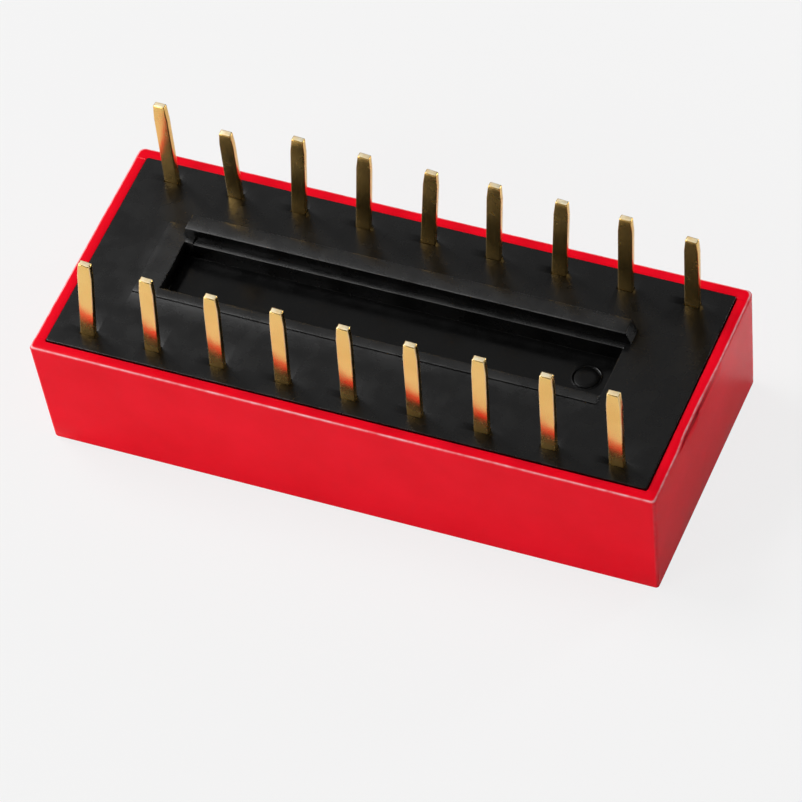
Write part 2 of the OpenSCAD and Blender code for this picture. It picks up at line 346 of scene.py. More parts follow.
def blotches(tree, scale, low=0.0, high=1.0, detail=3.0, stretch=(1, 1, 1)):
    """Noise on Object coordinates, with that many cells a metre, whose middle range is mapped to
    the range from low to high."""
    where = add(tree, "ShaderNodeTexCoord").outputs["Object"]
    moved = add(tree, "ShaderNodeMapping", {"Vector": where, "Scale": stretch}).outputs[0]
    noise = add(tree, "ShaderNodeTexNoise", {"Vector": moved, "Scale": scale, "Detail": detail})
    ranges = {"Value": noise.outputs["Fac"], "From Min": 0.3, "From Max": 0.7,
              "To Min": low, "To Max": high}
    return add(tree, "ShaderNodeMapRange", ranges).outputs[0]


def shades(tree, amount, darker, lighter):
    """A colour between two, by an amount from 0 to 1."""
    mix = add(tree, "ShaderNodeMix", {"Factor": amount}, data_type="RGBA")
    mix.inputs[6].default_value = (*darker, 1)
    mix.inputs[7].default_value = (*lighter, 1)
    return mix.outputs[2]


def grain(tree, scale, height, stretch=(1, 1, 1)):
    """Bump from noise with that many cells a metre and that height in metres."""
    rise = blotches(tree, scale, detail=4.0, stretch=stretch)
    bump = add(tree, "ShaderNodeBump", {"Height": rise, "Strength": 1.0, "Distance": height})
    return bump.outputs[0]


def by_painted_light(tree, shader, plain, scale, painted_highlight, painted_shade=None):
    """Colour by the attribute painted_light: the plain colour at 0, the painted highlight colour
    in spots of that scale towards 1, the painted shade colour, if any, towards -1. Returns the
    attribute's socket."""
    painted_light = add(tree, "ShaderNodeAttribute", attribute_name="painted_light").outputs["Fac"]
    colour = plain
    for painted_colour, factor in ((painted_highlight, blotches(tree, scale, low=0.3)), (painted_shade, -1.0)):
        if painted_colour:
            share = add(tree, "ShaderNodeMath", {0: painted_light, 1: factor}, operation="MULTIPLY",
                        use_clamp=True).outputs[0]
            inputs = {"Factor": share, 6: colour, 7: (*painted_colour, 1)}
            colour = add(tree, "ShaderNodeMix", inputs, data_type="RGBA").outputs[2]
    tree.links.new(colour, shader.inputs["Base Color"])
    return painted_light


BLACKS = ((0.0008, 0.0008, 0.0008), (0.002, 0.002, 0.002))
# A grey that paints a sheen on the rib and land tops and highlights along their edges
PAINTED_HIGHLIGHT_GREY = (0.11, 0.11, 0.11)


def black_plastic(name, ior, rough):
    """The base's plastic, with a mirror as strong as that index of refraction gives and a
    roughness in that range."""
    material, tree, shader = surface(name)
    plain = shades(tree, blotches(tree, scale=900), *BLACKS)
    by_painted_light(tree, shader, plain, scale=1100, painted_highlight=PAINTED_HIGHLIGHT_GREY)
    tree.links.new(blotches(tree, 1300, *rough), shader.inputs["Roughness"])
    tree.links.new(grain(tree, scale=6000, height=4e-7), shader.inputs["Normal"])
    shader.inputs["IOR"].default_value = ior
    return material


base_plastic = black_plastic("black_glass_filled_plastic", ior=1.46, rough=(0.22, 0.32))
matt_plastic = black_plastic("black_plastic_matt", ior=1.35, rough=(0.16, 0.24))

pocket_step = step_profile(BASE_TOP - POCKET_FLOOR, *POCKET_ROUNDING)
rib_step = step_profile(RIB_RISE, *RIB_ROUNDING)
land_step = step_profile(LAND_RISE, *LAND_ROUNDING)
pit_step = step_profile(PIT_DEPTH, *PIT_ROUNDING)
pit_offsets = pit_step[0][[0, 1, 2, 3, 4, -1]]
pit_boxes = [[(x - PIT_HALF[0], x + PIT_HALF[0]), (y - PIT_HALF[1], y + PIT_HALF[1])]
             for x in POSITION_X for y in (-ROW_Y, ROW_Y)]
line_sets = [step_lines(POCKET, -pocket_step[0]), step_lines(RIB, rib_step[0], RIB_END_SLANT)]
line_sets += [step_lines(box, land_step[0]) for box in LANDS]
line_sets += [step_lines(box, -pit_offsets) for box in pit_boxes]
chamber_side = np.array([-CHAMBER_LEAN, 0.0])
chamber_x = POSITION_X[:, None, None] + (CHAMBER_HALF_X + chamber_side)[:, None] * [-1, 1]
chamber_y = [(half + chamber_side)[:, None] * [-1, 1] for half, roof in (CHANNEL, CONTACT_ROOM)]
ejector_steps = np.tan(np.radians(np.linspace(-45, 45, 9))) * EJECTOR_SQUARE
base_lines = [gathered(chamber_x, EJECTOR_CENTRE[0] + ejector_steps, *[x for x, y in line_sets]),
              gathered(*chamber_y, end_lines(RIDGE_HALF), EJECTOR_CENTRE[1] + ejector_steps,
                       *[y for x, y in line_sets])]


def base_plan(level, inset):
    """The base's plan grid at a level, inset from its side walls."""
    half = half_at(level) - BASE_INSET - inset
    return plan_grid(half, (BASE_CORNER, BASE_CORNER), base_lines)


outer_plan = base_plan(BASE_TOP, BASE_EDGE)
outer_x, outer_y = outer_plan[..., 0], outer_plan[..., 1]
rib_past = beyond(outer_plan, RIB, RIB_END_SLANT, RIB_ROUNDING[1])
land_past = np.array([beyond(outer_plan, box) for box in LANDS])
pocket_past = beyond(outer_plan, POCKET)
from_pin = np.abs(outer_x[..., None] - POSITION_X).min(-1) - PIT_HALF[0]
pit_past = np.maximum(from_pin, np.abs(np.abs(outer_y) - ROW_Y) - PIT_HALF[1])
land_rise = LAND_RISE * np.interp(land_past, *land_step, right=0).max(0)
outer_level = BASE_TOP + np.maximum(land_rise, RIB_RISE * np.interp(rib_past, *rib_step))
in_pocket = np.interp(-pocket_past, *pocket_step)
outer_level = POCKET_FLOOR + (outer_level - POCKET_FLOOR) * in_pocket
outer_level = outer_level - PIT_DEPTH * (1 - np.interp(-pit_past, *pit_step))


def edge_highlight(past, band, edge, top=0):
    """Painted highlight by the distance past an edge: top up to the band, edge in its middle, 0
    past it.
    """
    return np.interp(past, band, [top, edge, edge, 0])


# The tops of the rib and the lands get a painted sheen, and their near edges and the pocket's far
# edge a painted highlight, the strongest of all.
rib_highlight = edge_highlight(rib_past, RIB_BAND, RIB_EDGE_HIGHLIGHT, RIB_TOP_SHEEN)
rib_back = (outer_y > RIB_EDGE_BACK) & (outer_x < RIB[0][1])
rib_highlight = np.where(rib_back, np.minimum(rib_highlight, RIB_TOP_SHEEN), rib_highlight)
rib_end = edge_highlight(outer_x - RIB[0][1], RIB_END_BAND, RIB_END_HIGHLIGHT)
rib_end = rib_end * (outer_y > RIB[1][0]) * (outer_y < RIB[1][1])
land_highlight = edge_highlight(land_past.min(0), LAND_BAND, LAND_EDGE_HIGHLIGHT, LAND_TOP_SHEEN)
land_back = outer_y > LAND_EDGE_BACK
land_highlight = np.where(land_back, np.minimum(land_highlight, LAND_TOP_SHEEN), land_highlight)
pocket_highlight = edge_highlight(pocket_past, POCKET_BAND, 1) * (outer_y > POCKET[1][1])
pocket_highlight = pocket_highlight * np.interp(outer_x, POCKET[0], POCKET_EDGE_HIGHLIGHT)
outer_painted_light = np.max([rib_highlight, rib_end, land_highlight, pocket_highlight], 0)
outer_painted_light = np.where(pocket_past < 0, 0, outer_painted_light)
outer_face = raised(outer_plan, outer_level, outer_painted_light)
outer_kept = all_quads(outer_plan)

# The ejector mark is turned on rings from a square hole in the pocket's floor to its centre.
square_loop = cut_hole(outer_plan, outer_kept, EJECTOR_CENTRE - EJECTOR_SQUARE,
                       EJECTOR_CENTRE + EJECTOR_SQUARE)
spoke = square_loop - EJECTOR_CENTRE
spoke = spoke / np.linalg.norm(spoke, axis=1)[:, None]
rings = EJECTOR_CENTRE + EJECTOR_RADII[:, None, None] * spoke
ejector = np.concatenate([raised(square_loop, POCKET_FLOOR)[None],
                          raised(rings, POCKET_FLOOR - EJECTOR_DEPTHS[:, None])])

under_plan = base_plan(BASE_UNDER, BASE_EDGE)
from_chamber = np.abs(under_plan[..., 0, None] - POSITION_X).min(-1) - CHAMBER_HALF_X
under_level = BASE_UNDER
for (half_y, roof), bottom in zip((CHANNEL, CONTACT_ROOM), (BASE_UNDER, CHANNEL[1])):
    past = np.maximum(from_chamber, np.abs(under_plan[..., 1]) - half_y)
    under_level = under_level + (roof - bottom) * np.interp(past, chamber_side, [1, 0])

edge_insets, edge_drops = quarter_edge(BASE_EDGE)
wall_rows = np.concatenate([ROWS_ABOVE_RIDGE, RIDGE_LEVEL + RIDGE_ROWS, ROWS_BELOW_RIDGE])
wall_levels = np.concatenate([BASE_TOP - edge_drops, wall_rows, BASE_UNDER + edge_drops[::-1]])
wall_insets = np.concatenate([edge_insets, 0 * wall_rows, edge_insets[::-1]])
base_wall = []
for level, inset in zip(wall_levels, wall_insets):
    loop = border(base_plan(level, inset))
    loop = pushed(loop, ridge_swell(loop, level, RIDGE_RADIUS, RIDGE_HALF))
    base_wall.append(raised(loop, level))
base_patches = [(outer_face, outer_kept), ejector, raised(under_plan, under_level),
                np.array(base_wall)]
base = piece("base_moulding", base_patches, "housing", ["base"],
             [base_plastic, matt_plastic])

# The pocket's floor is matt, with the faces whose middles lie this near it.
MATT_HEIGHT = 0.06
middles = np.empty(len(base.data.polygons) * 3)
base.data.polygons.foreach_get("center", middles)
x, y, z = np.abs(middles.reshape(-1, 3).T / MM - np.array([[0], [0], [POCKET_FLOOR]]))
in_floor = (x < POCKET[0][1]) & (y < POCKET[1][1]) & (z < MATT_HEIGHT)
base.data.polygons.foreach_set("material_index", in_floor.astype(np.int32))

# ------------------------------------------------------------------ terminals
# Each terminal is a gold-plated strip of copper alloy, stamped and bent: a wide contact pad in
# the roof of the contact room, a bend, and a pin with a tapered blunt tip. The base is moulded
# round them, and handling has bent each pin a little.

TERMINAL_SIDES = {-1: "front", 1: "back"}
STRIP = 0.25
STRIP_CORNER = 0.04
PAD_WIDTH = 1.2
PAD_START = {-1: 0.75, 1: -0.3}
PAD_END = 2.3
PAD_DROP = 0.01
NECK_END = 2.8
BEND_RADIUS = 0.2
PIN_WIDTH = 0.55
PIN_LENGTH = 3.8
PIN_ROWS = [3.6, 4.2, 4.9, 5.06, 5.2, 5.6, 6.2, 6.8, 7.4]
TIP_WIDTH = 0.45
TIP_LENGTH = 0.65
TIP_ROWS = np.array([TIP_LENGTH + 0.03, TIP_LENGTH - 0.03, 0.4])
LEAST_WIDTH = 0.02
LEAST_THICKNESS = 0.004
LEAN_ZONE = 0.3
# Degrees towards the right end, towards the back, and of twist, left to right
BENDS = {
    -1: [(6, 1.5, 0), (4, 0.5, 0), (3.5, 0, 0), (3, 1, 0), (3, 1, 0),
         (3, 0.5, 0), (3, 2, 0), (2.5, 2, 0), (2, 1, 0)],
    1: [(-1.5, 4, -3), (3.5, -4.5, 0), (5, 3, 0), (6, 2, 0), (7, 1.5, 0),
        (5, 2.5, 0), (5.5, 2, 0), (4, 1, 0), (4.5, -3, 0)],
}
# Painted highlights on the corners, and painted shade near the foot and higher up: how much in
# each row, and the levels between which it comes or goes
CORNER_HIGHLIGHT = {-1: 0.6, 1: 0.0}
CORNER_LEVELS = (6.2, 6.8)
FOOT_SHADE = {-1: 0.2, 1: 0.1}
FOOT_LEVELS = (5.2, 6.0)
FOOT_START = 4.5
UPPER_SHADE = {-1: 0.0, 1: 0.13}
UPPER_LEVELS = (5.6, 8.4)


def strip_section(width, thickness, radius):
    """Rectangle with rounded corners, as offsets (across, through), once round and back to the
    first: each corner is a quarter circle, and each wide side has a point in its middle."""
    turn = np.radians(np.linspace(0, 90, 5))
    arc = np.stack([np.cos(turn), np.sin(turn)], -1) * radius
    corner = np.array([width / 2 - radius, thickness / 2 - radius]) + arc
    middle = np.array([[0, thickness / 2]])
    return np.concatenate([corner, middle, corner[::-1] * [-1, 1],
                           -corner, -middle, corner[::-1] * [1, -1], corner[:1]])


def terminal_stations(side):
    """Along the strip's middle line: its Y, its Z, the slope of the strip there, its width, and
    how far the section is drawn in at the blunt ends. The line is a pad with a narrower neck, a
    quarter circle and an upright pin."""
    start = PAD_START[side]
    pad_y = np.array([start, start, start + 0.01, start + 0.04,
                      PAD_END - 0.03, PAD_END - 0.005, PAD_END, PAD_END + 0.001, NECK_END])
    pad_in = np.array([STRIP, 0.03, 0.01, 0, 0, 0, 0.02, 0, 0])
    pad_width = np.where(pad_y > PAD_END, PIN_WIDTH, PAD_WIDTH)
    pad_z = CONTACT_ROOM[1] - PAD_DROP + STRIP / 2
    bend = np.radians(np.linspace(0, 90, 7))
    middle = BEND_RADIUS + STRIP / 2
    bend_y = ROW_Y - middle + middle * np.sin(bend)
    bend_z = pad_z + middle - middle * np.cos(bend)
    tip = BASE_TOP + PIN_LENGTH
    below_tip, tip_in = quarter_edge(STRIP_CORNER)
    pin_z = np.concatenate([PIN_ROWS, tip - TIP_ROWS, tip - below_tip, [tip]])
    pin_width = np.interp(pin_z, [tip - TIP_LENGTH, tip], [PIN_WIDTH, TIP_WIDTH])
    pin_in = np.concatenate([np.zeros(len(PIN_ROWS) + len(TIP_ROWS)), tip_in, [STRIP]])
    along_y = np.concatenate([pad_y, bend_y, np.full(len(pin_z), ROW_Y)])
    along_z = np.concatenate([np.full(len(pad_y), pad_z), bend_z, pin_z])
    slope = np.concatenate([0 * pad_y, bend, np.full(len(pin_z), math.pi / 2)])
    width = np.concatenate([pad_width, np.full(len(bend), PIN_WIDTH), pin_width])
    drawn_in = np.concatenate([pad_in, 0 * bend, pin_in])
    return along_y, along_z, slope, width, drawn_in


def drawn_section(width, inset):
    """The strip's section at a width, drawn in by an inset on every side."""
    thickness = max(STRIP - 2 * inset, LEAST_THICKNESS)
    return strip_section(max(width - 2 * inset, LEAST_WIDTH), thickness,
                         min(STRIP_CORNER, 0.45 * thickness))


def terminal_shape(side, x, bends):
    """The strip section carried along its stations, then turned above the base by its bends about
    the point where it leaves the base, the turn growing over a short height."""
    along_y, along_z, slope, width, drawn_in = terminal_stations(side)
    sections = np.array([drawn_section(*station) for station in zip(width, drawn_in)])
    across, through = sections[..., 0], sections[..., 1]
    points = np.stack([across + 0 * along_y[:, None],
                       along_y[:, None] - np.sin(slope)[:, None] * through,
                       along_z[:, None] + np.cos(slope)[:, None] * through], -1)
    points = points * [1, side, 1]
    towards_right, towards_back, twist = (math.radians(angle) for angle in bends)
    turn = (Matrix.Rotation(twist, 3, "Z") @ Matrix.Rotation(towards_right, 3, "Y")
            @ Matrix.Rotation(-towards_back, 3, "X"))
    root = np.array([0, side * ROW_Y, BASE_TOP])
    amount = np.clip((points[..., 2:] - BASE_TOP) / LEAN_ZONE + 0.5, 0, 1)
    turned = (points - root) @ np.array(turn).T + root
    points = points + (turned - points) * amount * amount * (3 - 2 * amount) + [x, 0, 0]

    at_side, at_face = (np.abs(offset) > np.abs(offset).max(1)[:, None] - 0.9 * STRIP_CORNER
                        for offset in (across, through))
    corner = CORNER_HIGHLIGHT[side] * np.interp(along_z, CORNER_LEVELS, [0, 1])
    foot = FOOT_SHADE[side] * np.interp(along_z, FOOT_LEVELS, [1, 0]) * (along_z > FOOT_START)
    upper = UPPER_SHADE[side] * np.interp(along_z, UPPER_LEVELS, [0, 1])
    painted_light = corner[:, None] * (at_side & at_face) - (foot + upper)[:, None]
    # The tip's rounded end gets the painted highlight in full
    painted_light[-2:] = 1
    return raised(points, painted_light)


GOLDS = ((0.9, 0.57, 0.17), (0.97, 0.65, 0.22))
# A pale gold painted as highlights on the front pins' corners and tips, and a brown painted as
# shade near the feet and on the back pins' upper part
PAINTED_HIGHLIGHT_GOLD = (0.99, 0.9, 0.66)
PAINTED_SHADE_GOLD = (0.5, 0.2, 0.03)

# Where the plating carries painted highlight or painted shade it mirrors less and is rougher.
gold, tree, shader = surface("gold_plating")
plain = shades(tree, blotches(tree, scale=700), *GOLDS)
painted_light = by_painted_light(tree, shader, plain, scale=4000, painted_highlight=PAINTED_HIGHLIGHT_GOLD, painted_shade=PAINTED_SHADE_GOLD)
painted_amount = add(tree, "ShaderNodeMath", {0: painted_light}, operation="ABSOLUTE").outputs[0]
metal = add(tree, "ShaderNodeMapRange", {"Value": painted_amount, "To Min": 1.0, "To Max": 0.35})
tree.links.new(metal.outputs[0], shader.inputs["Metallic"])
rougher = add(tree, "ShaderNodeMapRange", {"Value": painted_amount, "To Min": 0.0, "To Max": 0.3})
plain_rough = blotches(tree, scale=1500, low=0.17, high=0.26)
rough = add(tree, "ShaderNodeMath", {0: plain_rough, 1: rougher.outputs[0]}, operation="ADD")
tree.links.new(rough.outputs[0], shader.inputs["Roughness"])
tree.links.new(grain(tree, scale=5000, height=1.5e-6, stretch=(1, 1, 0.15)),
               shader.inputs["Normal"])

for side, row in TERMINAL_SIDES.items():
    for i, x in enumerate(POSITION_X):
        shape = terminal_shape(side, x, BENDS[side][i])
        piece(f"pin_{row}_{i + 1}", [shape], "housing", [f"terminal_{row}_{i + 1}"],
              [gold])

# ------------------------------------------------------------------ contact springs
# Each slider carries a bowed strip of gold-plated spring alloy, rolled at both ends, that bridges
# the two pads of its position. It is shaped as the frame has it.

SPRING_GOLDS = ((0.84, 0.6, 0.25), (0.9, 0.68, 0.33))

spring_gold, tree, shader = surface("gold_plated_spring")
tree.links.new(shades(tree, blotches(tree, scale=900), *SPRING_GOLDS),
               shader.inputs["Base Color"])
tree.links.new(blotches(tree, scale=2500, low=0.16, high=0.28), shader.inputs["Roughness"])
shader.inputs["Metallic"].default_value = 1.0
for i in range(POSITIONS):
    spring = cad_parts[f"contact_spring_{i + 1}"]
    spring.data.materials.clear()
    spring.data.materials.append(spring_gold)

# ------------------------------------------------------------------ sliders
# Each slider is one white moulding: a flat plate in its channel, a knob that fills the width of
# its window, and above them a boss with a seat for the contact spring.

SLIDER_LOW, SLIDER_HIGH = size_of("actuator_1")
SLIDE_HALF = ((SLIDER_HIGH - SLIDER_LOW) / 2)[:2].round(3)
SLIDER_Y = round((SLIDER_HIGH[1] + SLIDER_LOW[1]) / 2, 3)
SLIDER_EDGE = 0.04
SLIDER_CORNER = 0.1
PLATE_LEVELS = (0.85, 1.55)
KNOB = [(-0.6, 0.6), (-0.65, 0.65)]
KNOB_HEIGHT = PLATE_LEVELS[0] - round(SLIDER_LOW[2], 3)
KNOB_ROUNDING = (0.09, 0.02, 0.04)
BOSS_HALF_Y = 0.8
BOSS_TOP = round(SLIDER_HIGH[2], 3)
BOSS_HEIGHT = BOSS_TOP - PLATE_LEVELS[1]
BOSS_ROUNDING = (0.05, 0.01, 0.04)
SEAT_HALF_X = 0.53
SEAT_DEPTH = BOSS_TOP - 1.95
SEAT_ROUNDING = (0.03, 0.01, 0.03)
# The seat is cut where the boss has risen by more than this share
SEAT_FROM = 0.55
WHITES = ((0.72, 0.71, 0.66), (0.78, 0.77, 0.73))

white_plastic, tree, shader = surface("white_plastic")
tree.links.new(shades(tree, blotches(tree, scale=700), *WHITES), shader.inputs["Base Color"])
tree.links.new(blotches(tree, scale=2500, low=0.3, high=0.42), shader.inputs["Roughness"])
tree.links.new(grain(tree, scale=9000, height=1.5e-6), shader.inputs["Normal"])
shader.inputs["Subsurface Weight"].default_value = 0.1
shader.inputs["Subsurface Radius"].default_value = (0.0006, 0.0005, 0.0004)

knob_step = step_profile(KNOB_HEIGHT, *KNOB_ROUNDING)
boss_step = step_profile(BOSS_HEIGHT, *BOSS_ROUNDING)
seat_step = step_profile(SEAT_DEPTH, *SEAT_ROUNDING)
knob_lines = step_lines(KNOB, knob_step[0])
boss_lines = side_lines(-BOSS_HALF_Y, BOSS_HALF_Y, boss_step[0])
seat_lines = side_lines(-SEAT_HALF_X, SEAT_HALF_X, -seat_step[0])
slider_lines = [gathered(knob_lines[0], seat_lines), gathered(knob_lines[1], boss_lines)]


def slider_plan(inset):
    """The sliding plate's plan grid, inset from its sides."""
    return plan_grid(SLIDE_HALF - inset, (SLIDER_CORNER, SLIDER_CORNER), slider_lines)


slide_plan = slider_plan(SLIDER_EDGE)
boss_share = np.interp(np.abs(slide_plan[..., 1]) - BOSS_HALF_Y, *boss_step)
seat_share = 1 - np.interp(SEAT_HALF_X - np.abs(slide_plan[..., 0]), *seat_step)
slider_top = PLATE_LEVELS[1] + boss_share * BOSS_HEIGHT
slider_top = slider_top - SEAT_DEPTH * seat_share * (boss_share > SEAT_FROM)
slider_under = PLATE_LEVELS[0] - KNOB_HEIGHT * np.interp(beyond(slide_plan, KNOB), *knob_step)
edge_insets, edge_drops = quarter_edge(SLIDER_EDGE)
slider_wall = [raised(border(slider_plan(inset)), border(slider_top) - drop)
               for inset, drop in zip(edge_insets, edge_drops)]
slider_wall += [raised(border(slider_plan(inset)), border(slider_under) + drop)
                for inset, drop in zip(edge_insets[::-1], edge_drops[::-1])]
slider_patches = [raised(slide_plan, slider_top), raised(slide_plan, slider_under),
                  np.array(slider_wall)]
for i, x in enumerate(POSITION_X):
    placed = [patch + [x, SLIDER_Y, 0] for patch in slider_patches]
    piece(f"slider_{i + 1}", placed, f"slider_{i + 1}", [f"actuator_{i + 1}"],
          [white_plastic])

# ------------------------------------------------------------------ cover
# A glossy red moulded shell, pushed down over the base until its grooves snap over the base's
# ridges. Its closed face has a window for each knob, its corners are rounded, and its right end
# has the recess of a broken-off gate.

WINDOW_HALF = np.array([0.65, 1.7])
WINDOW_LIP = 0.06
# Radii of the front and of the back corners
CORNER = (0.12, 0.22)
INNER_CORNER = (0.08, 0.08)
FACE_EDGE = 0.1
RIM_EDGE = 0.09
RIM_INNER_EDGE = 0.03
WALL_ROWS = [1.0, 2.0, 3.0, 3.8, 4.3]
INNER_ROW = 4.3
# X and Y lines nearer the middle than these stay where they are
KEPT_LINES = (10.95, 2.9)

GROOVE_RADIUS = RIDGE_RADIUS + 0.03
GROOVE_HALF = RIDGE_HALF + 0.03
GROOVE_ROWS = np.array([0.27, 0.237, 0.2, 0.14, 0.07, 0, -0.07, -0.14, -0.2, -0.237, -0.27])

# The recess, as places along Y with its depth and the level of its foot there, and its stub
GATE_Y = (-2.65, -1.95, -0.5, 1.64)
GATE_DEPTHS = (0, 0.06, 0.06, 0)
GATE_FEET = RIM - np.array([0.1, 0.24, 0.3, 0.1])
GATE_FOOT_RISE = 0.03
GATE_REACH = 0.5
GATE_ROWS = np.linspace(GATE_FEET.min() - 0.02, RIM - RIM_EDGE - 0.01, 8)
STUB_Y = -0.5
STUB_HALF = (0.11, 0.14)
STUB_TOP = (RIM - 0.18, RIM - 0.15)

# The rims of the two ends lie a step lower than those of the long walls
SEAM_Y = 4.55
SEAM_LEAN = 0.01
SEAM_STEP = 0.015

# Painted highlight in the rows from the wall up over the rim and on the upright edges, the share
# of a corner's radius from which it is full there, and the depth of the recess from which its
# painted shade is full
RIM_HIGHLIGHT = (0, 0.15, 1, 0)
UPRIGHT_HIGHLIGHT = 0.1
UPRIGHT_SHARE = 0.6
PAINTED_SHADE_DEPTH = 0.04

REDS = ((0.84, 0.0015, 0.013), (0.93, 0.0025, 0.018))
# A pinkish white painted as highlights along the rim's outer edge and the upright corners
PAINTED_HIGHLIGHT_RED = (0.99, 0.62, 0.66)
# A dark red painted as shade on the cut-back wall of the gate's recess
PAINTED_SHADE_RED = (0.4, 0.0008, 0.006)

red_plastic, tree, shader = surface("red_plastic")
plain = shades(tree, blotches(tree, scale=400, detail=6.0), *REDS)
by_painted_light(tree, shader, plain, scale=2500, painted_highlight=PAINTED_HIGHLIGHT_RED, painted_shade=PAINTED_SHADE_RED)
tree.links.new(blotches(tree, scale=1200, low=0.16, high=0.24), shader.inputs["Roughness"])
tree.links.new(grain(tree, scale=1500, height=6e-7), shader.inputs["Normal"])
shader.inputs["IOR"].default_value = 1.155

window_edge = np.array([0, WINDOW_LIP])
window_x = POSITION_X[:, None, None] + (WINDOW_HALF[0] + window_edge)[:, None] * [-1, 1]
window_y = (WINDOW_HALF[1] + window_edge)[:, None] * [-1, 1]
stub_y = STUB_Y + np.array([-STUB_HALF[1], -STUB_HALF[0], STUB_HALF[0], STUB_HALF[1]])
seam_y = (SEAM_Y + np.array([-3, -1, 1, 3]) * SEAM_LEAN)[:, None] * [-1, 1]
cover_lines = [gathered(window_x),
               gathered(window_y, GATE_Y, stub_y, seam_y, end_lines(GROOVE_HALF))]


def line_axis(line):
    """Grid coordinate of each line and corner step along one axis, the corner steps beyond the
    last line."""
    corner = np.abs(line).max() + 0.1 + CORNER_STEPS
    return np.concatenate([-corner[::-1], line, corner])


line_loop = border(np.stack(np.meshgrid(*map(line_axis, cover_lines)), -1))


def cover_plan(level, inset, radius):
    """The cover's plan grid at a level, inset from its outside."""
    return plan_grid(half_at(level) - inset, radius, cover_lines, KEPT_LINES)


def gate_cut(loop, level):
    """How far the right end's wall is cut back at a level: above a foot that rises, and by a
    depth that runs out, towards the ends of the recess, except at the stub."""
    foot = np.interp(loop[:, 1], GATE_Y, GATE_FEET)
    above = np.clip((level - foot) / GATE_FOOT_RISE + 0.5, 0, 1)
    stub = np.interp(np.abs(loop[:, 1] - STUB_Y), STUB_HALF, [1, 0])
    stub = stub * np.interp(level, STUB_TOP, [1, 0])
    at_end = loop[:, 0] > half_at(level)[0] - GATE_REACH
    return np.interp(loop[:, 1], GATE_Y, GATE_DEPTHS) * above * (1 - stub) * at_end


def rim_level(drop):
    """Level round the rim, less drop, with the step between the ends and the long walls."""
    seam = [SEAM_Y - SEAM_LEAN, SEAM_Y + SEAM_LEAN]
    return RIM - drop - SEAM_STEP * np.interp(np.abs(line_loop[:, 1]), seam, [1, 0])


def corner_share(loop):
    """1 in the middle of each rounded corner of the outside, 0 along its straight sides."""
    into = np.abs(loop) - np.abs(loop).max(0) + CORNER[0]
    return np.clip(into.min(1) / CORNER[0] / UPRIGHT_SHARE, 0, 1)


# The shell's rows of points run from the closed face up the outside, over the rim and down the
# inside.
shell_rows = [raised(border(cover_plan(0, inset, CORNER)), drop, 0)
              for inset, drop in zip(*quarter_edge(FACE_EDGE))]
for level in np.concatenate([WALL_ROWS, GATE_ROWS]):
    loop = border(cover_plan(level, 0, CORNER))
    cut = gate_cut(loop, level)
    # Painted highlight on the upright corner edges, painted shade where the recess is cut back
    painted_light = UPRIGHT_HIGHLIGHT * corner_share(loop) - np.clip(cut / PAINTED_SHADE_DEPTH, 0, 1)
    shell_rows.append(raised(pushed(loop, -cut), level, painted_light))
edge_insets, edge_drops = quarter_edge(RIM_EDGE)
# The rim's outer rounding carries the painted highlight
for inset, drop, painted_light in zip(edge_insets[::-1], edge_drops[::-1], RIM_HIGHLIGHT):
    loop = border(cover_plan(RIM, inset, CORNER))
    shell_rows.append(raised(pushed(loop, -gate_cut(loop, RIM)), rim_level(drop), painted_light))
for inset, drop in zip(*quarter_edge(RIM_INNER_EDGE)):
    loop = border(cover_plan(RIM, COVER_WALL - inset, INNER_CORNER))
    shell_rows.append(raised(loop, rim_level(drop), 0))
for level in np.concatenate([[INNER_ROW], RIDGE_LEVEL + GROOVE_ROWS, ROWS_BELOW_RIDGE]):
    loop = border(cover_plan(level, COVER_WALL, INNER_CORNER))
    loop = pushed(loop, ridge_swell(loop, level, GROOVE_RADIUS, GROOVE_HALF))
    shell_rows.append(raised(loop, level, 0))
loop = border(cover_plan(COVER_PLATE, COVER_WALL, INNER_CORNER))
shell_rows.append(raised(loop, COVER_PLATE, 0))

face_plan = cover_plan(0, FACE_EDGE, CORNER)
floor_plan = cover_plan(COVER_PLATE, COVER_WALL, INNER_CORNER)
face_kept = all_quads(face_plan)
lip_insets, lip_drops = quarter_edge(WINDOW_LIP)
window_walls = []
for x in POSITION_X:
    centre = np.array([x, 0])
    reach = WINDOW_HALF + WINDOW_LIP
    mouth = (cut_hole(face_plan, face_kept, centre - reach, centre + reach) - centre) / reach
    walls = [raised(centre + mouth * (WINDOW_HALF + inset), drop)
             for inset, drop in zip(lip_insets, lip_drops)]
    walls.append(raised(centre + mouth * WINDOW_HALF, COVER_PLATE - WINDOW_LIP))
    walls.append(raised(centre + mouth * reach, COVER_PLATE))
    window_walls.append(np.array(walls))
cover_patches = [(raised(face_plan, 0), face_kept), (raised(floor_plan, COVER_PLATE), face_kept),
                 np.array(shell_rows)]
piece("cover_shell", cover_patches + window_walls, "housing", ["cover"],
      [red_plastic])

# ------------------------------------------------------------------ printed marks
# White ink on the closed face: ON at the end towards which the knobs slide, and a number at each
# position's other end, to be read from below.

MARK_SIZE = 1.5
INK = 0.008
INK_WELD = 1e-8
ON_PLACE = (-9.6, -3.3)
NUMBER_Y = 3.3
INK_WHITES = ((0.7, 0.7, 0.68), (0.84, 0.84, 0.82))

white_ink, tree, shader = surface("white_ink")
tree.links.new(shades(tree, blotches(tree, scale=3000), *INK_WHITES), shader.inputs["Base Color"])
shader.inputs["Roughness"].default_value = 0.5


